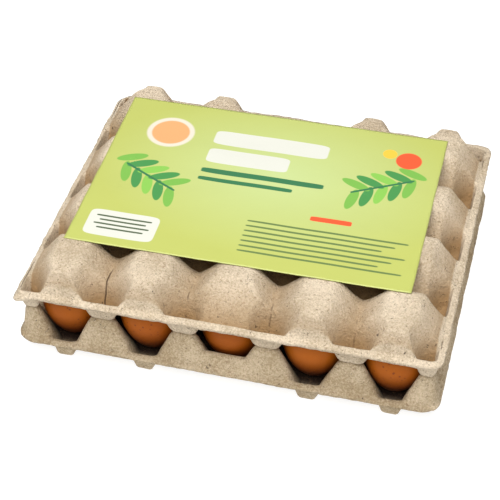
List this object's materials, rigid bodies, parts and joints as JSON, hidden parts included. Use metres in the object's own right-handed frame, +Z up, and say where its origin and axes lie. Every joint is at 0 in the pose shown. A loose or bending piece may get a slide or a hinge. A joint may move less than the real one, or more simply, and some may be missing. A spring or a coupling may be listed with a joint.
{
  "type": "egg carton with eggs",
  "caption": "Closed moulded-pulp carton of hen's eggs: a tray, the same tray turned over as a lid, eggs seen between the posts and a printed paper label on top.",
  "frame": {"origin": "on the ground under the middle of the pack", "axes": "+Z up, +X along the long side, -Y towards the front long side that the picture shows"},
  "size_m": [0.2858, 0.2362, 0.0733],
  "materials": {
    "pulp_tray": "matte, fibrous",
    "pulp_lid": "matte, fibrous",
    "label": "satin, printed",
    "eggshell": "satin"
  },
  "bodies": {
    "root": {"tray": "pulp_tray", "lid": "pulp_lid", "label": "label", "egg_1_1": "eggshell", "egg_1_2": "eggshell", "egg_1_3": "eggshell", "egg_1_4": "eggshell", "egg_1_5": "eggshell", "egg_2_1": "eggshell", "egg_2_2": "eggshell", "egg_2_3": "eggshell", "egg_2_4": "eggshell", "egg_2_5": "eggshell", "egg_3_1": "eggshell", "egg_3_2": "eggshell", "egg_3_3": "eggshell", "egg_3_4": "eggshell", "egg_3_5": "eggshell", "egg_4_1": "eggshell", "egg_4_2": "eggshell", "egg_4_3": "eggshell", "egg_4_4": "eggshell", "egg_4_5": "eggshell"}
  },
  "joints": []
}
